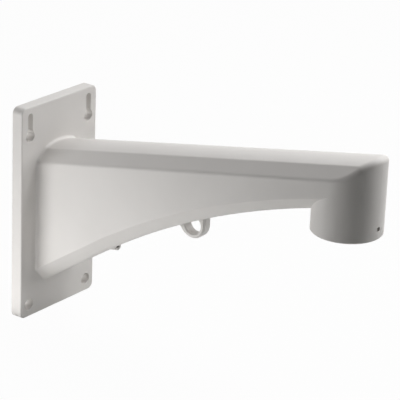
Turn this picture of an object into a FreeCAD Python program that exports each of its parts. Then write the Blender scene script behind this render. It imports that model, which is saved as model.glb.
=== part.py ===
import FreeCAD, Part
import Sketcher
import math
import os

# Camera wall bracket: one hollow aluminium casting. A wall plate carries a rising arm that ends in
# an upright threaded collar. Millimetres, +Z up. The wall is the plane X = 0, the arm runs out along
# +X, and Y = 0 is the middle. The shapes are drawn with their heights from the plate's lower edge,
# and the finished casting is then lowered so that its origin lies between the two lower screws.

NODE = "wall_bracket"

os.makedirs("parts", exist_ok=True)
doc = FreeCAD.newDocument("camera_wall_bracket")

# Sizes
# Each row is a name, a value in millimetres or degrees, and what it measures.
SIZES = [
    ("plate_width", 100.0, "wall plate across"),
    ("plate_height", 200.0, "wall plate from lower to upper edge"),
    ("plate_depth", 11.0, "wall plate from the wall to its front face"),
    ("plate_corner", 6.0, "corner radius of the plate's outline"),
    ("plate_edge", 1.2, "round on the plate's front edge"),
    ("rim_width", 4.5, "rim left round the recess in the plate's back"),
    ("recess_depth", 5.5, "depth of the recess in the plate's back"),
    ("hole_side", 39.0, "plate's middle to each screw hole"),
    ("hole_up", 12.0, "lower edge to the lower screw holes"),
    ("hole_radius", 5.5, "screw holes and the round part of the keyholes"),
    ("key_up", 173.0, "lower edge to the round part of the keyholes"),
    ("key_run", 18.2, "round part of a keyhole to the end of its slot's middle line"),
    ("key_half", 3.2, "half width of a keyhole's slot"),
    ("boss_radius", 9.5, "lower screw bosses in the plate's recess"),
    ("key_boss", 8.0, "half width of the bosses round the keyholes"),
    ("arm_half", 30.0, "half width of the arm"),
    ("arm_top", 157.7, "height of the arm's top at the wall"),
    ("arm_rise", 11.68, "slope of the arm's top in degrees"),
    ("crown_half", 17.5, "half width of the arched crown along the arm's top"),
    ("crown_radius", 50.7, "radius of the crown across the arm"),
    ("crown_crease", 4.0, "round along the two creases between the crown and the shoulders"),
    ("shoulder_slope", 40.9, "slope of the bevelled shoulders in degrees"),
    ("arch_start", 22.4, "height of the underside at the wall"),
    ("strut_slope", 34.15, "slope of the underside's straight part in degrees"),
    ("strut_run", 80.0, "wall to where the straight part turns into the arch"),
    ("arch_radius", 743.0, "radius of the arched part of the underside"),
    ("lower_bevel", 11.5, "bevel along the arm's lower edges"),
    ("crease_round", 1.5, "round between that bevel and the arm's sides"),
    ("under_round", 7.0, "round between that bevel and the underside"),
    ("shoulder_round", 4.5, "round along the arm's upper edges and over the collar"),
    ("root_round", 2.2, "round where the arm meets the plate"),
    ("collar_reach", 318.5, "wall to the collar's axis"),
    ("collar_bottom", 159.0, "height of the collar's lower rim"),
    ("collar_edge", 0.8, "bevel on the collar's lower rim"),
    ("shell_wall", 4.5, "wall of the hollow arm"),
    ("thread_radius", 23.9, "wall of the collar's threaded bore, at the roots of its thread"),
    ("thread_length", 22.0, "length of the collar's threaded bore"),
    ("thread_lead", 1.8, "lead-in bevel at the mouth of the threaded bore"),
    ("grub_up", 9.2, "collar's rim to the grub screw hole"),
    ("grub_radius", 2.1, "tapped hole for the grub screw"),
    ("eye_reach", 165.0, "wall to the middle of the safety cord eye's outside"),
    ("eye_hang", 2.8, "underside down to that middle"),
    ("eye_radius", 13.8, "outside of the eye"),
    ("eye_hole_out", 1.2, "middle of the eye's outside to the middle of its hole, away from the wall"),
    ("eye_hole_down", 1.3, "the same, downwards"),
    ("eye_hole", 8.4, "radius of the eye's hole"),
    ("eye_thick", 9.8, "eye across"),
    ("eye_edge", 1.6, "bevel on the eye's outer edges"),
    ("eye_bevel", 0.8, "bevel on the edges of the eye's hole"),
    ("eye_root", 3.6, "round where the eye meets the arm"),
    ("stud_reach", 81.0, "wall to the face of the earth screw boss"),
    ("stud_length", 18.0, "that face to the boss's other end, inside the root"),
    ("stud_radius", 4.0, "outside of the earth screw boss"),
    ("stud_hole", 2.0, "tapped hole in the earth screw boss"),
    ("stud_depth", 7.0, "depth of that hole"),
    ("lap", 1.0, "how far a shape runs past the face that it meets or cuts"),
]

# Sizes that follow from those above
FOLLOWING = [
    (
        "collar_radius",
        "=arm_half",
        "outside of the collar, flush with the arm's sides",
    ),
    (
        "arch_mid_x",
        "=strut_run + arch_radius * sin(strut_slope)",
        "wall to the middle of the arch's circle",
    ),
    (
        "arch_mid_z",
        "=arch_start + strut_run * tan(strut_slope) - arch_radius * cos(strut_slope)",
        "height of that middle",
    ),
    (
        "arch_end",
        "=arch_mid_z + sqrt(arch_radius ^ 2 - (collar_reach - arch_mid_x) ^ 2)",
        "height of the underside at the collar's axis",
    ),
    (
        "hollow_start",
        "=arch_start + shell_wall / cos(strut_slope) - lap * tan(strut_slope)",
        "height of the hollow's floor where it begins, behind the wall's plane",
    ),
    (
        "hollow_run",
        "=strut_run - shell_wall * sin(strut_slope)",
        "wall to where the hollow's floor turns into its arch",
    ),
    (
        "hollow_end",
        "=arch_mid_z + sqrt((arch_radius + shell_wall) ^ 2 - (collar_reach - arch_mid_x) ^ 2)",
        "height of the hollow's floor at the collar's axis",
    ),
    (
        "turn_side",
        "=crown_half * (1 - crown_crease / crown_radius)",
        "arm's middle to the axis of the round along a crease of the crown",
    ),
    (
        "turn_drop",
        "=crown_radius - (crown_radius - crown_crease) * sqrt(1 - (crown_half / crown_radius) ^ 2)",
        "top of the arm down to that axis",
    ),
    (
        "shoulder_drop",
        "=turn_drop - crown_crease / cos(shoulder_slope)"
        " + (arm_half + lap - turn_side) * tan(shoulder_slope)",
        "top of the arm down to the lower end of the shoulder's outline, just past the arm's side",
    ),
    (
        "hollow_top",
        "=arm_top - shell_wall - 2 * lap * tan(arm_rise)",
        "top of the hollow where it begins, behind the wall's plane",
    ),
    (
        "hollow_shoulder",
        "=hollow_top - shoulder_drop - shell_wall * (1 / cos(shoulder_slope) - 1)",
        "lower ends of the hollow's shoulders there",
    ),
    (
        "blank_top",
        "=arm_top + (collar_reach + 2 * collar_radius) * tan(arm_rise)",
        "top of the shapes that the arm's cross section cuts",
    ),
    (
        "eye_height",
        "=arch_mid_z + sqrt(arch_radius ^ 2 - (eye_reach - arch_mid_x) ^ 2) - eye_hang",
        "height of the middle of the eye's outside",
    ),
    (
        "eye_top",
        "=arch_mid_z + sqrt(arch_radius ^ 2 - (eye_reach + eye_radius - arch_mid_x) ^ 2) + lap",
        "top of the eye's outline, inside the arm",
    ),
    (
        "stud_height",
        "=arch_start + stud_reach * tan(strut_slope)",
        "height of the middle of the earth screw boss's face",
    ),
]

sheet = doc.addObject("Spreadsheet::Sheet", "dims")
for row, (name, value, meaning) in enumerate(SIZES + FOLLOWING, start=1):
    sheet.set(f"A{row}", name)
    sheet.set(f"B{row}", str(value))
    sheet.set(f"C{row}", meaning)
    sheet.setAlias(f"B{row}", name)
doc.recompute()


def dim(name):
    """Returns the value of one size."""
    return float(getattr(sheet, name))


def vec(x, y, z=0.0):
    """Returns a vector."""
    return FreeCAD.Vector(x, y, z)


def bind(thing, prop, formula):
    """Drives a property of an object by a formula in the sizes."""
    thing.setExpression(prop, formula)


def plane_of(body, role):
    """Returns one of a body's own origin planes."""
    for feature in body.Origin.OriginFeatures:
        if feature.Role == role:
            return feature
    raise RuntimeError("plane not found: " + role)


def new_body(name):
    """Adds an empty body."""
    return doc.addObject("PartDesign::Body", name)


def new_sketch(body, role, name, offset=None):
    """Adds a sketch on an origin plane of its body, lifted by a formula where one is given."""
    sketch = body.newObject("Sketcher::SketchObject", name)
    sketch.AttachmentSupport = (plane_of(body, role), [""])
    sketch.MapMode = "FlatFace"
    if offset is not None:
        bind(sketch, "AttachmentOffset.Base.z", offset)
    return sketch


def add_line(sketch, start, end):
    """Adds a line and returns its number."""
    return sketch.addGeometry(Part.LineSegment(vec(*start), vec(*end)), False)


def add_arc(sketch, centre, radius, first, last):
    """Adds an arc that runs anticlockwise between two angles in degrees."""
    circle = Part.Circle(vec(*centre), vec(0, 0, 1), radius)
    arc = Part.ArcOfCircle(circle, math.radians(first), math.radians(last))
    return sketch.addGeometry(arc, False)


def add_circle(sketch, centre, radius, radius_formula, x_formula=None, y_formula=None):
    """Adds a circle with its radius and its centre driven by formulas."""
    number = sketch.addGeometry(Part.Circle(vec(*centre), vec(0, 0, 1), radius), False)
    drive(sketch, "Radius", (number,), radius, radius_formula)
    place(sketch, number, 3, centre, x_formula, y_formula)
    return number


def rule(sketch, kind, *refs):
    """Adds a constraint that has no size."""
    sketch.addConstraint(Sketcher.Constraint(kind, *refs))


def drive(sketch, kind, refs, value, formula):
    """Adds a constraint whose size follows a formula."""
    number = sketch.addConstraint(Sketcher.Constraint(kind, *refs, value))
    sketch.setExpression(f"Constraints[{number}]", formula)


def place(sketch, geometry, end, point, x_formula, y_formula):
    """Ties a point to the sketch's origin. No formula means that the point is on the axis."""
    if x_formula is None:
        rule(sketch, "PointOnObject", geometry, end, -2)
    else:
        drive(sketch, "DistanceX", (-1, 1, geometry, end), point[0], x_formula)
    if y_formula is None:
        rule(sketch, "PointOnObject", geometry, end, -1)
    else:
        drive(sketch, "DistanceY", (-1, 1, geometry, end), point[1], y_formula)


def pad(body, sketch, name, formula, both_ways=False):
    """Raises a sketch into a solid along its normal."""
    feature = body.newObject("PartDesign::Pad", name)
    feature.Profile = sketch
    feature.Length = 10.0
    bind(feature, "Length", formula)
    feature.Midplane = both_ways
    sketch.Visibility = False
    return feature


def pocket(body, sketch, name, formula, reverse=False):
    """Sinks a sketch into the solid."""
    feature = body.newObject("PartDesign::Pocket", name)
    feature.Profile = sketch
    feature.Length = 5.0
    bind(feature, "Length", formula)
    feature.Reversed = reverse
    sketch.Visibility = False
    return feature


def edges_where(shape, test):
    """Returns the names of the edges that pass a test."""
    return [f"Edge{i}" for i, edge in enumerate(shape.Edges, start=1) if test(edge)]


def soften(body, base, name, names, formula):
    """Rounds the named edges of a feature."""
    if not names:
        raise RuntimeError("no edges for " + name)
    feature = body.newObject("PartDesign::Fillet", name)
    feature.Base = (base, names)
    bind(feature, "Radius", formula)
    return feature


def bevel(body, base, name, names, formula):
    """Bevels the named edges of a feature."""
    if not names:
        raise RuntimeError("no edges for " + name)
    feature = body.newObject("PartDesign::Chamfer", name)
    feature.Base = (base, names)
    bind(feature, "Size", formula)
    return feature


def under_height(x):
    """Returns the height of the underside at x."""
    if x < dim("strut_run"):
        return dim("arch_start") + x * math.tan(math.radians(dim("strut_slope")))
    return dim("arch_mid_z") + math.sqrt(dim("arch_radius") ** 2 - (x - dim("arch_mid_x")) ** 2)


def arch_outline(sketch, left, start, end, radius, run, top):
    """Draws a side profile: a straight then arched lower edge, two upright ends and a level top edge.

    left, start, end, radius, run and top are pairs of a value and its formula.
    """
    reach = dim("collar_reach")
    centre = (dim("arch_mid_x"), dim("arch_mid_z"))
    touch = start[0] + (run[0] - left[0]) * math.tan(math.radians(dim("strut_slope")))
    first = math.degrees(math.atan2(end[0] - centre[1], reach - centre[0]))
    last = math.degrees(math.atan2(touch - centre[1], run[0] - centre[0]))
    under = add_arc(sketch, centre, radius[0], first, last)
    strut = add_line(sketch, (run[0], touch), (left[0], start[0]))
    back_line = add_line(sketch, (left[0], start[0]), (left[0], top[0]))
    top_line = add_line(sketch, (left[0], top[0]), (reach, top[0]))
    end_line = add_line(sketch, (reach, top[0]), (reach, end[0]))
    rule(sketch, "Tangent", under, 2, strut, 1)
    rule(sketch, "Coincident", strut, 2, back_line, 1)
    rule(sketch, "Coincident", back_line, 2, top_line, 1)
    rule(sketch, "Coincident", top_line, 2, end_line, 1)
    rule(sketch, "Coincident", end_line, 2, under, 1)
    rule(sketch, "Vertical", back_line)
    rule(sketch, "Horizontal", top_line)
    rule(sketch, "Vertical", end_line)
    drive(sketch, "Radius", (under,), radius[0], radius[1])
    drive(sketch, "DistanceX", (-1, 1, strut, 1), run[0], run[1])
    if left[1] is None:
        rule(sketch, "PointOnObject", back_line, 1, -2)
    else:
        drive(sketch, "DistanceX", (back_line, 1, -1, 1), -left[0], left[1])
    drive(sketch, "DistanceY", (-1, 1, back_line, 1), start[0], start[1])
    drive(sketch, "DistanceX", (-1, 1, end_line, 2), reach, "dims.collar_reach")
    drive(sketch, "DistanceY", (-1, 1, end_line, 2), end[0], end[1])
    drive(sketch, "DistanceY", (-1, 1, top_line, 1), top[0], top[1])


def crown_outline(sketch, top, radius, half, foot):
    """Draws a cross section: an arched crown, two bevelled shoulders and two sides down to a level foot.

    top, radius, half and foot are pairs of a value and its formula. foot is the height of the
    shoulders' lower ends. The sides run down to the level of the plate's lower edge.
    """
    turn = dim("crown_crease")
    tilt = math.asin(half[0] / radius[0])
    slope = math.radians(dim("shoulder_slope"))
    mid = top[0] - radius[0]
    turn_y = (radius[0] - turn) * math.sin(tilt)
    turn_z = mid + (radius[0] - turn) * math.cos(tilt)
    touch = (turn_y + turn * math.sin(slope), turn_z + turn * math.cos(slope))
    out = dim("arm_half") + dim("lap")
    steep = 90.0 - dim("shoulder_slope")
    gentle = 90.0 - math.degrees(tilt)
    crown = add_arc(sketch, (0.0, mid), radius[0], gentle, 180.0 - gentle)
    right_turn = add_arc(sketch, (turn_y, turn_z), turn, steep, gentle)
    right_bevel = add_line(sketch, touch, (out, foot[0]))
    right_side = add_line(sketch, (out, foot[0]), (out, 0.0))
    base = add_line(sketch, (out, 0.0), (-out, 0.0))
    left_side = add_line(sketch, (-out, 0.0), (-out, foot[0]))
    left_bevel = add_line(sketch, (-out, foot[0]), (-touch[0], touch[1]))
    left_turn = add_arc(sketch, (-turn_y, turn_z), turn, 180.0 - gentle, 180.0 - steep)
    rule(sketch, "Tangent", crown, 1, right_turn, 2)
    rule(sketch, "Tangent", right_turn, 1, right_bevel, 1)
    rule(sketch, "Coincident", right_bevel, 2, right_side, 1)
    rule(sketch, "Coincident", right_side, 2, base, 1)
    rule(sketch, "Coincident", base, 2, left_side, 1)
    rule(sketch, "Coincident", left_side, 2, left_bevel, 1)
    rule(sketch, "Tangent", left_bevel, 2, left_turn, 2)
    rule(sketch, "Tangent", left_turn, 1, crown, 2)
    rule(sketch, "Vertical", right_side)
    rule(sketch, "Horizontal", base)
    rule(sketch, "Vertical", left_side)
    rule(sketch, "PointOnObject", base, 1, -1)
    rule(sketch, "PointOnObject", crown, 3, -2)
    rule(sketch, "Equal", right_turn, left_turn)
    drive(sketch, "Radius", (crown,), radius[0], radius[1])
    drive(sketch, "Radius", (right_turn,), turn, "dims.crown_crease")
    drive(sketch, "DistanceX", (-1, 1, crown, 1), half[0], half[1])
    drive(sketch, "DistanceY", (-1, 1, crown, 3), mid, f"{top[1]} - ({radius[1]})")
    drive(sketch, "DistanceX", (-1, 1, right_bevel, 2), out, "dims.arm_half + dims.lap")
    drive(sketch, "DistanceY", (-1, 1, right_bevel, 2), foot[0], foot[1])
    drive(sketch, "DistanceX", (left_bevel, 1, -1, 1), out, "dims.arm_half + dims.lap")
    drive(sketch, "DistanceY", (-1, 1, left_bevel, 1), foot[0], foot[1])


def slope_pad(body, sketch, name):
    """Raises a cross section along the slope of the arm's top, past the collar."""
    feature = pad(body, sketch, name, "dims.collar_reach + 2 * dims.collar_radius")
    feature.UseCustomVector = True
    feature.AlongSketchNormal = True
    feature.Direction = vec(1.0, 0.0, rise)
    bind(feature, "Direction.x", "cos(dims.arm_rise)")
    bind(feature, "Direction.z", "sin(dims.arm_rise)")


rise = math.tan(math.radians(dim("arm_rise")))

# Arm seen from the side, with its bevelled lower edges and the collar below its end
side = new_body("ArmSide")
side_sketch = new_sketch(side, "XZ_Plane", "ArmSideOutline")
arch_outline(
    side_sketch,
    (0.0, None),
    (dim("arch_start"), "dims.arch_start"),
    (dim("arch_end"), "dims.arch_end"),
    (dim("arch_radius"), "dims.arch_radius"),
    (dim("strut_run"), "dims.strut_run"),
    (dim("blank_top"), "dims.blank_top"),
)
side_pad = pad(side, side_sketch, "ArmSidePad", "2 * dims.arm_half", both_ways=True)
doc.recompute()


def is_arch_edge(edge):
    """Tells whether an edge is one of the two long arched ones."""
    curve = edge.Curve
    return isinstance(curve, Part.Circle) and abs(curve.Radius - dim("arch_radius")) < 1.0


def is_along(edge, out):
    """Tells whether an edge runs along the arm's lower side at a distance out from the middle."""
    box = edge.BoundBox
    level = box.YMax - box.YMin < 0.01 and abs(abs(box.YMax) - out) < 0.01
    return level and box.XMax - box.XMin > dim("lap") and box.ZMax < dim("blank_top") - dim("lap")


lower = bevel(side, side_pad, "LowerBevel", edges_where(side_pad.Shape, is_arch_edge), "dims.lower_bevel")
doc.recompute()
crease_edges = edges_where(lower.Shape, lambda edge: is_along(edge, dim("arm_half")))
crease = soften(side, lower, "CreaseRound", crease_edges, "dims.crease_round")
doc.recompute()
under_out = dim("arm_half") - dim("lower_bevel")
under_edges = edges_where(crease.Shape, lambda edge: is_along(edge, under_out))
soften(side, crease, "UnderRound", under_edges, "dims.under_round")
collar_sketch = new_sketch(side, "XY_Plane", "CollarOutline", "dims.collar_bottom")
add_circle(
    collar_sketch,
    (dim("collar_reach"), 0.0),
    dim("collar_radius"),
    "dims.collar_radius",
    "dims.collar_reach",
    None,
)
pad(side, collar_sketch, "CollarPad", "dims.blank_top - dims.collar_bottom")

# Cross section of the arm, run along the slope of its top
section = new_body("ArmSection")
section_sketch = new_sketch(section, "YZ_Plane", "ArmSectionOutline")
crown_outline(
    section_sketch,
    (dim("arm_top"), "dims.arm_top"),
    (dim("crown_radius"), "dims.crown_radius"),
    (dim("crown_half"), "dims.crown_half"),
    (dim("arm_top") - dim("shoulder_drop"), "dims.arm_top - dims.shoulder_drop"),
)
slope_pad(section, section_sketch, "ArmSectionPad")
doc.recompute()

arm = doc.addObject("Part::MultiCommon", "ArmSolid")
arm.Shapes = [side, section]
doc.recompute()


def surface_height(x, y):
    """Returns the height of the arm's upper surface, as if its creases were sharp."""
    radius = dim("crown_radius")
    crown_drop = radius - math.sqrt(max(radius * radius - y * y, 0.0))
    steepness = math.tan(math.radians(dim("shoulder_slope")))
    bevel_drop = dim("shoulder_drop") - (dim("arm_half") + dim("lap") - abs(y)) * steepness
    return dim("arm_top") + x * rise - max(crown_drop, bevel_drop)


def is_upper_edge(edge):
    """Tells whether an edge bounds the arm's upper surface on its sides or round the collar."""
    middle = edge.valueAt((edge.FirstParameter + edge.LastParameter) / 2.0)
    if abs(middle.z - surface_height(middle.x, middle.y)) > 0.2:
        return False
    if middle.x < 0.5:
        return False
    on_side = abs(abs(middle.y) - dim("arm_half")) < 0.01
    round_end = abs(math.hypot(middle.x - dim("collar_reach"), middle.y) - dim("collar_radius")) < 0.05
    return on_side or round_end


def is_collar_rim(edge):
    """Tells whether an edge is the collar's lower rim."""
    box = edge.BoundBox
    return box.ZMax - box.ZMin < 0.01 and abs(box.ZMin - dim("collar_bottom")) < 0.01


soft_arm = new_body("SoftArm")
soft_arm.BaseFeature = arm
doc.recompute()
plain_arm = soft_arm.Tip
upper_edges = edges_where(plain_arm.Shape, is_upper_edge)
upper = soften(soft_arm, plain_arm, "UpperRound", upper_edges, "dims.shoulder_round")
doc.recompute()
bevel(soft_arm, upper, "RimBevel", edges_where(upper.Shape, is_collar_rim), "dims.collar_edge")
doc.recompute()

# Wall plate: rounded slab with a shallow recess behind, bosses round the screws, and keyholes above
plate = new_body("Plate")


def rounded_slab(sketch, inset_value, inset):
    """Draws the plate's outline, drawn in by an inset."""
    wide = dim("plate_width") / 2.0 - inset_value
    low = inset_value
    high = dim("plate_height") - inset_value
    turn = dim("plate_corner") - inset_value
    lower = add_line(sketch, (-wide + turn, low), (wide - turn, low))
    corner_a = add_arc(sketch, (wide - turn, low + turn), turn, 270.0, 360.0)
    right = add_line(sketch, (wide, low + turn), (wide, high - turn))
    corner_b = add_arc(sketch, (wide - turn, high - turn), turn, 0.0, 90.0)
    upper_line = add_line(sketch, (wide - turn, high), (-wide + turn, high))
    corner_c = add_arc(sketch, (-wide + turn, high - turn), turn, 90.0, 180.0)
    left = add_line(sketch, (-wide, high - turn), (-wide, low + turn))
    corner_d = add_arc(sketch, (-wide + turn, low + turn), turn, 180.0, 270.0)
    ring = [lower, corner_a, right, corner_b, upper_line, corner_c, left, corner_d]
    for here, following in zip(ring, ring[1:] + ring[:1]):
        rule(sketch, "Tangent", here, 2, following, 1)
    rule(sketch, "Horizontal", lower)
    rule(sketch, "Vertical", right)
    rule(sketch, "Horizontal", upper_line)
    rule(sketch, "Vertical", left)
    drive(sketch, "Radius", (corner_a,), turn, "dims.plate_corner - " + inset)
    rule(sketch, "Equal", corner_a, corner_b)
    rule(sketch, "Equal", corner_a, corner_c)
    rule(sketch, "Equal", corner_a, corner_d)
    drive(sketch, "DistanceX", (-1, 1, right, 1), wide, "dims.plate_width / 2 - " + inset)
    drive(sketch, "DistanceX", (left, 1, -1, 1), wide, "dims.plate_width / 2 - " + inset)
    drive(sketch, "DistanceY", (-1, 1, upper_line, 1), high, "dims.plate_height - " + inset)
    if inset_value > 0.0:
        drive(sketch, "DistanceY", (-1, 1, lower, 1), low, inset)
    else:
        rule(sketch, "PointOnObject", lower, 1, -1)


def key_outline(sketch, side_sign, grow_value, grow):
    """Draws an upright stadium round a keyhole's slot, from its round part to the slot's end."""
    x = side_sign * dim("hole_side")
    low = dim("key_up")
    high = low + dim("key_run")
    bottom = add_arc(sketch, (x, low), grow_value, 180.0, 360.0)
    right = add_line(sketch, (x + grow_value, low), (x + grow_value, high))
    upper_end = add_arc(sketch, (x, high), grow_value, 0.0, 180.0)
    left = add_line(sketch, (x - grow_value, high), (x - grow_value, low))
    rule(sketch, "Tangent", bottom, 2, right, 1)
    rule(sketch, "Tangent", right, 2, upper_end, 1)
    rule(sketch, "Tangent", upper_end, 2, left, 1)
    rule(sketch, "Tangent", left, 2, bottom, 1)
    rule(sketch, "Vertical", right)
    drive(sketch, "Radius", (bottom,), grow_value, grow)
    if side_sign > 0:
        drive(sketch, "DistanceX", (-1, 1, bottom, 3), dim("hole_side"), "dims.hole_side")
    else:
        drive(sketch, "DistanceX", (bottom, 3, -1, 1), dim("hole_side"), "dims.hole_side")
    drive(sketch, "DistanceY", (-1, 1, bottom, 3), low, "dims.key_up")
    drive(sketch, "DistanceY", (-1, 1, upper_end, 3), high, "dims.key_up + dims.key_run")


def side_circle(sketch, side_sign, up_value, up, radius_value, radius):
    """Draws a circle at one of the two sides of the plate."""
    middle = vec(side_sign * dim("hole_side"), up_value)
    number = sketch.addGeometry(Part.Circle(middle, vec(0, 0, 1), radius_value), False)
    drive(sketch, "Radius", (number,), radius_value, radius)
    if side_sign > 0:
        drive(sketch, "DistanceX", (-1, 1, number, 3), dim("hole_side"), "dims.hole_side")
    else:
        drive(sketch, "DistanceX", (number, 3, -1, 1), dim("hole_side"), "dims.hole_side")
    drive(sketch, "DistanceY", (-1, 1, number, 3), up_value, up)


slab_sketch = new_sketch(plate, "YZ_Plane", "PlateOutline")
rounded_slab(slab_sketch, 0.0, "0")
slab = pad(plate, slab_sketch, "PlatePad", "dims.plate_depth")
doc.recompute()


def is_front_rim(edge):
    """Tells whether an edge bounds the plate's front face."""
    box = edge.BoundBox
    return box.XMax - box.XMin < 0.01 and abs(box.XMax - dim("plate_depth")) < 0.01


soften(plate, slab, "PlateEdge", edges_where(slab.Shape, is_front_rim), "dims.plate_edge")
recess_sketch = new_sketch(plate, "YZ_Plane", "RecessOutline")
rounded_slab(recess_sketch, dim("rim_width"), "dims.rim_width")
pocket(plate, recess_sketch, "Recess", "dims.recess_depth", reverse=True)
for sign, word in ((-1, "Left"), (1, "Right")):
    low_sketch = new_sketch(plate, "YZ_Plane", "LowerBoss" + word)
    side_circle(low_sketch, sign, dim("hole_up"), "dims.hole_up", dim("boss_radius"), "dims.boss_radius")
    pad(plate, low_sketch, "LowerBossPad" + word, "dims.recess_depth + dims.lap")
    key_boss = new_sketch(plate, "YZ_Plane", "KeyBoss" + word)
    key_outline(key_boss, sign, dim("key_boss"), "dims.key_boss")
    pad(plate, key_boss, "KeyBossPad" + word, "dims.recess_depth + dims.lap")
for sign, word in ((-1, "Left"), (1, "Right")):
    low_hole = new_sketch(plate, "YZ_Plane", "LowerHole" + word)
    side_circle(low_hole, sign, dim("hole_up"), "dims.hole_up", dim("hole_radius"), "dims.hole_radius")
    pocket(plate, low_hole, "LowerHolePocket" + word, "dims.plate_depth + dims.lap", reverse=True)
    key_hole = new_sketch(plate, "YZ_Plane", "KeyHole" + word)
    side_circle(key_hole, sign, dim("key_up"), "dims.key_up", dim("hole_radius"), "dims.hole_radius")
    pocket(plate, key_hole, "KeyHolePocket" + word, "dims.plate_depth + dims.lap", reverse=True)
    key_slot = new_sketch(plate, "YZ_Plane", "KeySlot" + word)
    key_outline(key_slot, sign, dim("key_half"), "dims.key_half")
    pocket(plate, key_slot, "KeySlotPocket" + word, "dims.plate_depth + dims.lap", reverse=True)
doc.recompute()

# Eye for the safety cord: an upright ring that grows out of the underside
eye = new_body("Eye")
eye_sketch = new_sketch(eye, "XZ_Plane", "EyeOutline")
eye_x = dim("eye_reach")
eye_z = dim("eye_height")
eye_r = dim("eye_radius")
eye_top = dim("eye_top")
ring_low = add_arc(eye_sketch, (eye_x, eye_z), eye_r, 180.0, 360.0)
ring_right = add_line(eye_sketch, (eye_x + eye_r, eye_z), (eye_x + eye_r, eye_top))
ring_top = add_line(eye_sketch, (eye_x + eye_r, eye_top), (eye_x - eye_r, eye_top))
ring_left = add_line(eye_sketch, (eye_x - eye_r, eye_top), (eye_x - eye_r, eye_z))
rule(eye_sketch, "Tangent", ring_low, 2, ring_right, 1)
rule(eye_sketch, "Coincident", ring_right, 2, ring_top, 1)
rule(eye_sketch, "Coincident", ring_top, 2, ring_left, 1)
rule(eye_sketch, "Tangent", ring_left, 2, ring_low, 1)
rule(eye_sketch, "Vertical", ring_right)
rule(eye_sketch, "Horizontal", ring_top)
drive(eye_sketch, "Radius", (ring_low,), eye_r, "dims.eye_radius")
drive(eye_sketch, "DistanceX", (-1, 1, ring_low, 3), eye_x, "dims.eye_reach")
drive(eye_sketch, "DistanceY", (-1, 1, ring_low, 3), eye_z, "dims.eye_height")
drive(eye_sketch, "DistanceY", (-1, 1, ring_top, 1), eye_top, "dims.eye_top")
eye_pad = pad(eye, eye_sketch, "EyePad", "dims.eye_thick", both_ways=True)
eye_inner = new_sketch(eye, "XZ_Plane", "EyeHoleOutline")
add_circle(
    eye_inner,
    (eye_x + dim("eye_hole_out"), eye_z - dim("eye_hole_down")),
    dim("eye_hole"),
    "dims.eye_hole",
    "dims.eye_reach + dims.eye_hole_out",
    "dims.eye_height - dims.eye_hole_down",
)
eye_hole = pocket(eye, eye_inner, "EyeHole", "dims.eye_thick + 2 * dims.lap")
eye_hole.Midplane = True
doc.recompute()


def is_eye_rim(edge, radius):
    """Tells whether an edge is a round rim on one of the eye's two faces, of the given radius."""
    box = edge.BoundBox
    flat = box.YMax - box.YMin < 0.01 and abs(abs(box.YMax) - dim("eye_thick") / 2.0) < 0.01
    return flat and isinstance(edge.Curve, Part.Circle) and abs(edge.Curve.Radius - radius) < 0.01


hole_rims = edges_where(eye_hole.Shape, lambda edge: is_eye_rim(edge, dim("eye_hole")))
eye_cut = bevel(eye, eye_hole, "EyeBevel", hole_rims, "dims.eye_bevel")
doc.recompute()
outer_rims = edges_where(eye_cut.Shape, lambda edge: is_eye_rim(edge, eye_r))
bevel(eye, eye_cut, "EyeEdge", outer_rims, "dims.eye_edge")
doc.recompute()


def slope_cylinder(name, radius, lead, length):
    """Adds a cylinder that runs back along the slope from the face of the earth screw boss.

    radius, lead and length are formulas. lead is how far the cylinder starts in front of that face.
    """
    cylinder = doc.addObject("Part::Cylinder", name)
    bind(cylinder, "Radius", radius)
    bind(cylinder, "Height", length)
    turn = FreeCAD.Rotation(vec(0.0, -1.0, 0.0), 90.0 + dim("arm_rise"))
    cylinder.Placement = FreeCAD.Placement(vec(0.0, 0.0), turn)
    bind(cylinder, "Placement.Rotation.Angle", "90 + dims.arm_rise")
    bind(cylinder, "Placement.Base.x", f"dims.stud_reach + {lead} * cos(dims.arm_rise)")
    bind(cylinder, "Placement.Base.z", f"dims.stud_height + {lead} * sin(dims.arm_rise)")
    return cylinder


# Small boss under the arm's root, for an earth screw
stud = slope_cylinder("EarthBoss", "dims.stud_radius", "0", "dims.stud_length")
doc.recompute()

# One casting before it is hollowed, with its roots blended
outer = doc.addObject("Part::MultiFuse", "OuterSolid")
outer.Shapes = [soft_arm, plate, eye, stud]
outer.Refine = True
doc.recompute()


def is_root_edge(edge):
    """Tells whether an edge is where the arm meets the plate's front face."""
    box = edge.BoundBox
    if box.XMax - box.XMin > 0.01 or abs(box.XMax - dim("plate_depth")) > 0.01:
        return False
    return max(abs(box.YMin), abs(box.YMax)) < dim("arm_half") + 0.5


def is_eye_root(edge):
    """Tells whether an edge is where the eye's two shanks meet the underside."""
    middle = edge.valueAt((edge.FirstParameter + edge.LastParameter) / 2.0)
    near = abs(middle.x - dim("eye_reach")) < dim("eye_radius") + dim("lap")
    narrow = abs(middle.y) < dim("eye_thick") / 2.0 + 0.2
    return near and narrow and abs(middle.z - under_height(middle.x)) < 0.05


casting = new_body("Casting")
casting.BaseFeature = outer
doc.recompute()
raw = casting.Tip
root = soften(casting, raw, "RootRound", edges_where(raw.Shape, is_root_edge), "dims.root_round")
doc.recompute()
soften(casting, root, "EyeRoot", edges_where(root.Shape, is_eye_root), "dims.eye_root")
doc.recompute()

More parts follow.
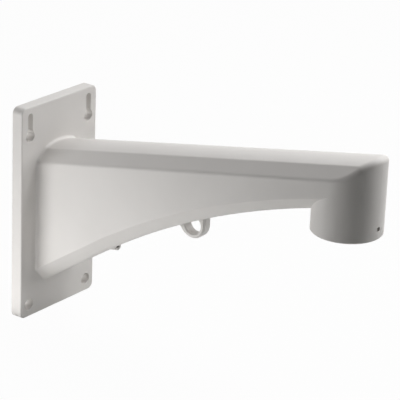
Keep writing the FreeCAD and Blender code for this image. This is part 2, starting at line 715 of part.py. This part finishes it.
# Hollow of the arm, open through the plate and into the collar
hollow_side = new_body("HollowSide")
hollow_side_sketch = new_sketch(hollow_side, "XZ_Plane", "HollowSideOutline")
wall = dim("shell_wall")
arch_outline(
    hollow_side_sketch,
    (-dim("lap"), "dims.lap"),
    (dim("hollow_start"), "dims.hollow_start"),
    (dim("hollow_end"), "dims.hollow_end"),
    (dim("arch_radius") + wall, "dims.arch_radius + dims.shell_wall"),
    (dim("hollow_run"), "dims.hollow_run"),
    (dim("blank_top"), "dims.blank_top"),
)
hollow_side_pad = pad(
    hollow_side,
    hollow_side_sketch,
    "HollowSidePad",
    "2 * (dims.arm_half - dims.shell_wall)",
    both_ways=True,
)
doc.recompute()


def is_hollow_arch_edge(edge):
    """Tells whether an edge is one of the two long lower edges of the hollow."""
    curve = edge.Curve
    radius = dim("arch_radius") + dim("shell_wall")
    return isinstance(curve, Part.Circle) and abs(curve.Radius - radius) < 1.0


bevel(
    hollow_side,
    hollow_side_pad,
    "HollowLowerBevel",
    edges_where(hollow_side_pad.Shape, is_hollow_arch_edge),
    "dims.lower_bevel - dims.shell_wall * (2 - sqrt(2))",
)
hollow_collar_sketch = new_sketch(
    hollow_side, "XY_Plane", "HollowCollarOutline", "dims.collar_bottom + dims.thread_length"
)
add_circle(
    hollow_collar_sketch,
    (dim("collar_reach"), 0.0),
    dim("collar_radius") - wall,
    "dims.collar_radius - dims.shell_wall",
    "dims.collar_reach",
    None,
)
pad(
    hollow_side,
    hollow_collar_sketch,
    "HollowCollarPad",
    "dims.blank_top - dims.collar_bottom - dims.thread_length",
)
hollow_section = new_body("HollowSection")
hollow_section_sketch = new_sketch(hollow_section, "YZ_Plane", "HollowSectionOutline", "-2 * dims.lap")
crown_outline(
    hollow_section_sketch,
    (dim("hollow_top"), "dims.hollow_top"),
    (dim("crown_radius") - wall, "dims.crown_radius - dims.shell_wall"),
    (dim("crown_half") - wall / 2.0, "dims.crown_half - dims.shell_wall / 2"),
    (dim("hollow_shoulder"), "dims.hollow_shoulder"),
)
slope_pad(hollow_section, hollow_section_sketch, "HollowSectionPad")
doc.recompute()
hollow = doc.addObject("Part::MultiCommon", "HollowArm")
hollow.Shapes = [hollow_side, hollow_section]

# Threaded bore of the collar with its lead-in, and the two small tapped holes
bore = doc.addObject("Part::Cylinder", "CollarBore")
bind(bore, "Radius", "dims.thread_radius")
bind(bore, "Height", "dims.thread_length + 2 * dims.lap")
bind(bore, "Placement.Base.x", "dims.collar_reach")
bind(bore, "Placement.Base.z", "dims.collar_bottom - dims.lap")
lead = doc.addObject("Part::Cone", "CollarLead")
bind(lead, "Radius1", "dims.thread_radius + dims.thread_lead + dims.lap")
bind(lead, "Radius2", "dims.thread_radius")
bind(lead, "Height", "dims.thread_lead + dims.lap")
bind(lead, "Placement.Base.x", "dims.collar_reach")
bind(lead, "Placement.Base.z", "dims.collar_bottom - dims.lap")
grub = doc.addObject("Part::Cylinder", "GrubHole")
grub.Placement = FreeCAD.Placement(vec(0.0, 0.0), FreeCAD.Rotation(vec(0.0, 1.0, 0.0), 90.0))
bind(grub, "Radius", "dims.grub_radius")
bind(grub, "Height", "dims.collar_radius - dims.thread_radius + 2 * dims.lap")
bind(grub, "Placement.Base.x", "dims.collar_reach + dims.thread_radius - dims.lap")
bind(grub, "Placement.Base.z", "dims.collar_bottom + dims.grub_up")
stud_bore = slope_cylinder("EarthBore", "dims.stud_hole", "dims.lap", "dims.stud_depth + dims.lap")
doc.recompute()

voids = doc.addObject("Part::MultiFuse", "Voids")
voids.Shapes = [hollow, bore, lead, grub, stud_bore]
bracket = doc.addObject("Part::Cut", "WallBracket")
bracket.Base = casting
bracket.Tool = voids
bracket.Label = NODE
bind(bracket, "Placement.Base.z", "-dims.hole_up")
doc.recompute()

# Every object must have built cleanly before anything is written out
for thing in doc.Objects:
    if "Invalid" in thing.State or "Error" in thing.State:
        raise RuntimeError("object did not build: " + thing.Name)
if not bracket.Shape.isValid() or len(bracket.Shape.Solids) != 1:
    raise RuntimeError("the casting is not one valid solid")
bracket.Shape.exportStep(f"parts/{bracket.Label}.step")
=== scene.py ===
import logging
import math
from dataclasses import dataclass, field
from enum import Enum
from typing import Any

import bpy
from mathutils import Matrix, Vector


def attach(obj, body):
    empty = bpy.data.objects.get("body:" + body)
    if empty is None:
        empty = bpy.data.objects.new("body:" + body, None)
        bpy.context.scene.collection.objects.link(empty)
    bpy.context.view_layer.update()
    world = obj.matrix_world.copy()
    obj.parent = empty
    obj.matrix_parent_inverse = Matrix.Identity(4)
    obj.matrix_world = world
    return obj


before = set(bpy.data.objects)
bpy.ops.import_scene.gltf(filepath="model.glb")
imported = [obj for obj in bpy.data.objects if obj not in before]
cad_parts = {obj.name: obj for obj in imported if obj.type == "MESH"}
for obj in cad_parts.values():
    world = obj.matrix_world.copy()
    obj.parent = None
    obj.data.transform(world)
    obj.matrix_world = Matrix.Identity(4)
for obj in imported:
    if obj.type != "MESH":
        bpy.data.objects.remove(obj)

# A cast aluminium wall bracket for a hanging camera, in pale grey powder coat, shown as a product
# photograph would show it: alone on a white sweep, under soft boxes, seen from its front left corner.

log = logging.getLogger("camera_wall_bracket")
MILLIMETRE = 0.001
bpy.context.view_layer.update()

Colour = tuple[float, float, float, float]
Point = tuple[float, float, float]

WHITE: Colour = (1.0, 1.0, 1.0, 1.0)
CASTING_MIDDLE: Point = (0.17, 0.0, 0.1)


class Surface(Enum):
    """The finishes that the scene uses."""

    POWDER_COAT = "pale_grey_powder_coat"
    CUT_THREAD = "bare_cut_aluminium"
    SWEEP = "white_paper_sweep"


class Lamp(Enum):
    """What each soft box is for."""

    KEY = "steep_key_box"
    SIDE = "right_back_box"
    TOP = "top_back_box"
    LEFT = "left_fill_box"
    LOW = "low_left_board"
    UNDER = "board_under_the_arm"
    BEHIND = "board_behind_the_plate"


def linear(code: str) -> Colour:
    """Turns an sRGB hex value into the linear colour that a shader works with.

    Args:
        code: six hex digits, with or without a leading hash.

    Returns:
        Red, green and blue in linear light, and an alpha of one.
    """
    digits = code.lstrip("#")
    shares = [int(digits[i:i + 2], 16) / 255.0 for i in (0, 2, 4)]
    flat = [v / 12.92 if v <= 0.04045 else ((v + 0.055) / 1.055) ** 2.4 for v in shares]
    return flat[0], flat[1], flat[2], 1.0


def add_node(
    tree: bpy.types.NodeTree,
    kind: str,
    settings: dict[str | int, Any],
    links: dict[str | int, bpy.types.NodeSocket],
) -> bpy.types.Node:
    """Adds one node to a tree.

    Args:
        tree: the node tree of a material or of the world.
        kind: the node's type name in Blender.
        settings: attributes by their name, or values for sockets by the socket's name or number.
        links: for each of the node's inputs, the output that feeds it.

    Returns:
        The new node.
    """
    node = tree.nodes.new(kind)
    for name, value in settings.items():
        if isinstance(name, str) and hasattr(node, name):
            setattr(node, name, value)
        else:
            node.inputs[name].default_value = value
    for name, source in links.items():
        tree.links.new(source, node.inputs[name])
    return node


def empty_material(surface: Surface) -> tuple[bpy.types.Material, bpy.types.NodeTree]:
    """Makes a material with an empty tree.

    Args:
        surface: the finish that the material is for.

    Returns:
        The material and its tree.
    """
    material = bpy.data.materials.new(surface.value)
    material.use_nodes = True
    material.node_tree.nodes.clear()
    return material, material.node_tree


def add_seen_share(tree: bpy.types.NodeTree) -> bpy.types.NodeSocket:
    """Adds the nodes that tell what the camera and reflections see from what only lights the object.

    Args:
        tree: the node tree of the floor's material or of the world.

    Returns:
        An output that is one for camera, glossy and transmission rays, and nought for the others.
    """
    rays = add_node(tree, "ShaderNodeLightPath", {}, {})
    seen = add_node(
        tree,
        "ShaderNodeMath",
        {"operation": "MAXIMUM"},
        {0: rays.outputs["Is Camera Ray"], 1: rays.outputs["Is Glossy Ray"]},
    )
    through = add_node(
        tree,
        "ShaderNodeMath",
        {"operation": "MAXIMUM"},
        {0: seen.outputs[0], 1: rays.outputs["Is Transmission Ray"]},
    )
    return through.outputs[0]


@dataclass(frozen=True)
class Unevenness:
    """A noise in a surface: its spots' size and depth in millimetres, and its make-up."""

    size: float
    detail: float
    rough: float
    depth: float = 0.0

    def add_noise(self, tree: bpy.types.NodeTree, place: bpy.types.NodeSocket) -> bpy.types.NodeSocket:
        """Adds the noise to a material.

        Args:
            tree: the material's node tree.
            place: the output with the point on the object.

        Returns:
            The noise's value, from nought to one.
        """
        noise = add_node(
            tree,
            "ShaderNodeTexNoise",
            {"Scale": 1.0 / (self.size * MILLIMETRE), "Detail": self.detail, "Roughness": self.rough},
            {"Vector": place},
        )
        return noise.outputs["Fac"]

    def add_bump(
        self,
        tree: bpy.types.NodeTree,
        place: bpy.types.NodeSocket,
        under: bpy.types.NodeSocket | None = None,
    ) -> bpy.types.NodeSocket:
        """Adds the noise to a material as a relief.

        Args:
            tree: the material's node tree.
            place: the output with the point on the object.
            under: the normal of a coarser relief that this one lies on.

        Returns:
            The normal of the uneven surface.
        """
        links = {"Height": self.add_noise(tree, place)}
        if under is not None:
            links["Normal"] = under
        settings = {"Strength": 1.0, "Distance": self.depth * MILLIMETRE}
        return add_node(tree, "ShaderNodeBump", settings, links).outputs["Normal"]


@dataclass(frozen=True)
class PowderCoat:
    """Polyester powder coat in a warm pale grey on sandblasted cast aluminium, sprayed and baked.

    Its satin surface takes the soft boxes as long, soft gradients without a hard highlight, and baking
    leaves a fine orange peel, a finer grain and a slight cloudiness in the shade.
    """

    shade: str = "#DDDAD7"
    cloud: str = "#D5D2CF"
    glossiest: float = 0.48
    dullest: float = 0.53
    cloud_low: float = 0.3
    cloud_high: float = 0.7
    index: float = 1.5
    clouds: Unevenness = Unevenness(size=45.0, detail=3.0, rough=0.5)
    peel: Unevenness = Unevenness(size=1.6, detail=1.0, rough=0.4, depth=0.012)
    grain: Unevenness = Unevenness(size=0.45, detail=2.0, rough=0.6, depth=0.004)

    def make(self) -> bpy.types.Material:
        """Builds the material.

        Returns:
            The material.
        """
        material, tree = empty_material(Surface.POWDER_COAT)
        place = add_node(tree, "ShaderNodeTexCoord", {}, {}).outputs["Object"]
        clouds = self.clouds.add_noise(tree, place)
        shade = add_node(
            tree,
            "ShaderNodeMix",
            {"data_type": "RGBA", 6: linear(self.shade), 7: linear(self.cloud)},
            {0: clouds},
        )
        sheen = add_node(
            tree,
            "ShaderNodeMapRange",
            {
                "From Min": self.cloud_low,
                "From Max": self.cloud_high,
                "To Min": self.glossiest,
                "To Max": self.dullest,
            },
            {"Value": clouds},
        )
        coat = add_node(
            tree,
            "ShaderNodeBsdfPrincipled",
            {"IOR": self.index},
            {
                "Base Color": shade.outputs[2],
                "Roughness": sheen.outputs["Result"],
                "Normal": self.grain.add_bump(tree, place, self.peel.add_bump(tree, place)),
            },
        )
        add_node(tree, "ShaderNodeOutputMaterial", {}, {"Surface": coat.outputs["BSDF"]})
        return material


@dataclass(frozen=True)
class CutThread:
    """Bare cast aluminium where a tap has cut the thread after painting.

    It is brighter and sharper than the coat, with the fine tearing that a tap leaves.
    """

    shade: str = "#C9CACB"
    roughness: float = 0.3
    marks: Unevenness = Unevenness(size=0.35, detail=2.0, rough=0.6, depth=0.01)

    def make(self) -> bpy.types.Material:
        """Builds the material.

        Returns:
            The material.
        """
        material, tree = empty_material(Surface.CUT_THREAD)
        place = add_node(tree, "ShaderNodeTexCoord", {}, {}).outputs["Object"]
        metal = add_node(
            tree,
            "ShaderNodeBsdfPrincipled",
            {"Base Color": linear(self.shade), "Metallic": 1.0, "Roughness": self.roughness},
            {"Normal": self.marks.add_bump(tree, place)},
        )
        add_node(tree, "ShaderNodeOutputMaterial", {}, {"Surface": metal.outputs["BSDF"]})
        return material


@dataclass(frozen=True)
class PaperSweep:
    """White seamless paper.

    The camera and the paint's reflections see it evenly lit, with a faint shadow.
    """

    shade: str = "#BDBDBB"
    glow_share: float = 0.97

    def make(self) -> bpy.types.Material:
        """Builds the material.

        Returns:
            The material.
        """
        material, tree = empty_material(Surface.SWEEP)
        share = add_node(
            tree,
            "ShaderNodeMath",
            {"operation": "MULTIPLY", 1: self.glow_share},
            {0: add_seen_share(tree)},
        )
        paper = add_node(tree, "ShaderNodeBsdfDiffuse", {"Color": linear(self.shade)}, {})
        glow = add_node(tree, "ShaderNodeEmission", {"Color": WHITE, "Strength": 1.0}, {})
        mix = add_node(
            tree,
            "ShaderNodeMixShader",
            {},
            {0: share.outputs[0], 1: paper.outputs[0], 2: glow.outputs[0]},
        )
        add_node(tree, "ShaderNodeOutputMaterial", {}, {"Surface": mix.outputs[0]})
        return material


@dataclass
class ThreadedCollar:
    """The pipe thread cut in the collar, 11 turns to the inch, with its sizes in millimetres.

    Its ridges stand in from the bore's wall, which the casting has at the thread's roots.
    """

    axis_x: float = 318.5
    mouth_z: float = 147.0
    lead: float = 1.8
    length: float = 22.0
    root_radius: float = 23.9
    crest_radius: float = 22.42
    pitch: float = 2.309
    flank_angle: float = 27.5
    crest_half: float = 0.18
    crest_round: float = 0.1
    foot_sink: float = 0.02
    fade_turns: float = 0.35
    steps_round: int = 96

    def ridge_profile(self) -> list[tuple[float, float]]:
        """Works out the ridge's section.

        Returns:
            Its corners as steps out along the radius and up the axis, from the lower foot to the upper.
        """
        depth = self.root_radius - self.crest_radius
        flank = depth * math.tan(math.radians(self.flank_angle))
        return [
            (self.foot_sink, -flank - self.crest_half),
            (-depth + self.crest_round, -self.crest_half),
            (-depth, 0.0),
            (-depth + self.crest_round, self.crest_half),
            (self.foot_sink, flank + self.crest_half),
        ]

    def build(self) -> bpy.types.Object:
        """Builds the helical ridge, which fades out at both ends.

        Returns:
            The ridge, in bare metal, riding the casting's body.
        """
        turns = (self.length - self.lead - self.pitch) / self.pitch
        count = int(turns * self.steps_round)
        fade_steps = self.fade_turns * self.steps_round
        points: list[Point] = []
        faces: list[tuple[int, ...]] = []
        profile = self.ridge_profile()
        wide = len(profile)
        for step in range(count + 1):
            angle = math.tau * step / self.steps_round
            up = self.mouth_z + self.lead + 0.5 * self.pitch + self.pitch * step / self.steps_round
            fade = min(1.0, step / fade_steps, (count - step) / fade_steps)
            for out, along in profile:
                radius = self.root_radius + (out * fade if out < 0.0 else out)
                points.append((
                    (self.axis_x + radius * math.cos(angle)) * MILLIMETRE,
                    radius * math.sin(angle) * MILLIMETRE,
                    (up + along) * MILLIMETRE,
                ))
            if step:
                base = step * wide
                faces += [
                    (corner, corner + 1, corner + 1 - wide, corner - wide)
                    for corner in range(base, base + wide - 1)
                ]
        mesh = bpy.data.meshes.new("collar_thread")
        mesh.from_pydata(points, [], faces)
        mesh.update()
        mesh.polygons.foreach_set("use_smooth", [True] * len(mesh.polygons))
        piece = bpy.data.objects.new("collar_thread", mesh)
        bpy.context.scene.collection.objects.link(piece)
        piece.data.materials.append(CutThread().make())
        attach(piece, "root")
        return piece


@dataclass
class Casting:
    """The bracket itself: plate, arm, collar, eye and earth boss in one piece."""

    node: str = "wall_bracket"

    def dress(self) -> bpy.types.Object:
        """Gives the casting its coat.

        Returns:
            The casting.
        """
        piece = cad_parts[self.node]
        coat = PowderCoat().make()
        for place in piece.material_slots:
            place.material = coat
        return piece


@dataclass(frozen=True)
class PhotographersView:
    """A camera on a long lens, fitted to the photograph: angles in degrees, lengths in millimetres."""

    azimuth: float = 36.6404
    elevation: float = 21.5445
    roll: float = -2.3585
    shift_right: float = -139.941
    shift_down: float = 91.980
    distance: float = 1925.885
    focal_pixels: float = 2089.17
    frame_pixels: float = 400.0
    sensor: float = 36.0
    plate_foot: float = -12.0
    sight_metres: float = 50.0

    def axes(self) -> tuple[Vector, Vector, Vector]:
        """Works out how the camera is turned.

        Returns:
            Its right, down and forward directions.
        """
        turn = math.radians(self.azimuth)
        tilt = math.radians(self.elevation)
        lean = math.radians(self.roll)
        flat = math.cos(tilt)
        forward = Vector((-math.sin(turn) * flat, math.cos(turn) * flat, -math.sin(tilt)))
        level = Vector((math.cos(turn), math.sin(turn), 0.0))
        drop = forward.cross(level)
        right = math.cos(lean) * level + math.sin(lean) * drop
        down = -math.sin(lean) * level + math.cos(lean) * drop
        return right, down, forward

    def set_up(self) -> bpy.types.Object:
        """Places the camera and makes it the scene's camera.

        Returns:
            The camera.
        """
        right, down, forward = self.axes()
        back = -(right * self.shift_right + down * self.shift_down + forward * self.distance)
        back.z += self.plate_foot
        turn = Matrix((right, -down, -forward)).transposed().to_4x4()
        camera = bpy.data.objects.new("camera", bpy.data.cameras.new("camera"))
        camera.data.sensor_width = self.sensor
        camera.data.lens = self.focal_pixels / self.frame_pixels * self.sensor
        camera.data.clip_end = self.sight_metres
        camera.matrix_world = Matrix.Translation(back * MILLIMETRE) @ turn
        bpy.context.scene.collection.objects.link(camera)
        bpy.context.scene.camera = camera
        return camera


@dataclass(frozen=True)
class SoftBox:
    """A soft box or white board: place, sides and target in metres, and power in watts."""

    lamp: Lamp
    stand: Point
    sides: tuple[float, float]
    watts: float
    target: Point = CASTING_MIDDLE

    def hang(self) -> bpy.types.Object:
        """Adds the lamp, which the camera itself doesn't see.

        Returns:
            The lamp.
        """
        light = bpy.data.lights.new(self.lamp.value, "AREA")
        light.shape = "RECTANGLE"
        light.size, light.size_y = self.sides
        light.energy = self.watts
        lamp = bpy.data.objects.new(self.lamp.value, light)
        lamp.location = self.stand
        aim = Vector(self.target) - Vector(self.stand)
        lamp.rotation_euler = aim.to_track_quat("-Z", "Y").to_euler()
        lamp.visible_camera = False
        bpy.context.scene.collection.objects.link(lamp)
        return lamp


@dataclass
class Studio:
    """The sweep, the room round it and the soft boxes, in metres."""

    floor_height: float = -0.0125
    floor_half: float = 6.0
    back_wall: Point = (-0.597, 0.802, 0.0)
    back_glow: float = 0.08
    boxes: list[SoftBox] = field(default_factory=lambda: [
        SoftBox(Lamp.KEY, stand=(0.45, 0.5, 1.2), sides=(0.6, 0.5), watts=8.2),
        SoftBox(Lamp.SIDE, stand=(0.9, 0.9, 0.7), sides=(0.6, 0.6), watts=7.6),
        SoftBox(Lamp.TOP, stand=(-0.45, 0.95, 1.05), sides=(1.3, 0.6), watts=5.7),
        SoftBox(Lamp.LEFT, stand=(-0.2, -0.5, 0.15), sides=(0.4, 0.3), watts=1.6),
        SoftBox(
            Lamp.LOW,
            stand=(0.0, -0.2, 0.0),
            sides=(0.2, 0.12),
            watts=0.13,
            target=(0.08, 0.0, 0.08),
        ),
        SoftBox(
            Lamp.UNDER,
            stand=(0.12, -0.12, -0.008),
            sides=(0.3, 0.12),
            watts=0.12,
            target=(0.12, -0.11, 0.3),
        ),
        SoftBox(
            Lamp.BEHIND,
            stand=(-0.02, -0.0075, 0.09),
            sides=(0.085, 0.19),
            watts=0.045,
            target=(0.0, -0.0075, 0.09),
        ),
    ])

    def lay_sweep(self) -> bpy.types.Object:
        """Lays the white floor just under the plate's lower edge.

        Returns:
            The floor.
        """
        half = self.floor_half
        corners = [(-half, -half), (half, -half), (half, half), (-half, half)]
        mesh = bpy.data.meshes.new("white_sweep")
        mesh.from_pydata([(x, y, self.floor_height) for x, y in corners], [], [(0, 1, 2, 3)])
        floor = bpy.data.objects.new("white_sweep", mesh)
        bpy.context.scene.collection.objects.link(floor)
        floor.data.materials.append(PaperSweep().make())
        return floor

    def paint_room(self) -> bpy.types.World:
        """Gives the room a soft glow from its back wall, and white wherever it is seen.

        Returns:
            The world.
        """
        world = bpy.data.worlds.new("studio_room")
        world.use_nodes = True
        tree = world.node_tree
        tree.nodes.clear()
        place = add_node(tree, "ShaderNodeTexCoord", {}, {})
        towards = add_node(
            tree,
            "ShaderNodeVectorMath",
            {"operation": "DOT_PRODUCT", 1: [self.back_glow * share for share in self.back_wall]},
            {0: place.outputs["Generated"]},
        )
        glow = add_node(
            tree,
            "ShaderNodeMath",
            {"operation": "MAXIMUM", 1: 0.0},
            {0: towards.outputs["Value"]},
        )
        room = add_node(tree, "ShaderNodeBackground", {"Color": WHITE}, {"Strength": glow.outputs[0]})
        white = add_node(tree, "ShaderNodeBackground", {"Color": WHITE, "Strength": 1.0}, {})
        both = add_node(
            tree,
            "ShaderNodeMixShader",
            {},
            {0: add_seen_share(tree), 1: room.outputs[0], 2: white.outputs[0]},
        )
        add_node(tree, "ShaderNodeOutputWorld", {}, {"Surface": both.outputs[0]})
        bpy.context.scene.world = world
        return world

    def set_up(self) -> None:
        """Builds the whole studio."""
        self.lay_sweep()
        self.paint_room()
        for box in self.boxes:
            box.hang()
        bpy.context.scene.view_settings.view_transform = "Standard"


def main() -> None:
    """Builds the camera and the studio, gives the bracket its coat and builds the collar's thread."""
    logging.basicConfig(level=logging.INFO, format="%(name)s: %(message)s")
    PhotographersView().set_up()
    log.info("camera in place")
    Studio().set_up()
    log.info("studio in place")
    log.info("dressed %s", Casting().dress().name)
    log.info("built %s", ThreadedCollar().build().name)


if __name__ == "__main__":
    main()
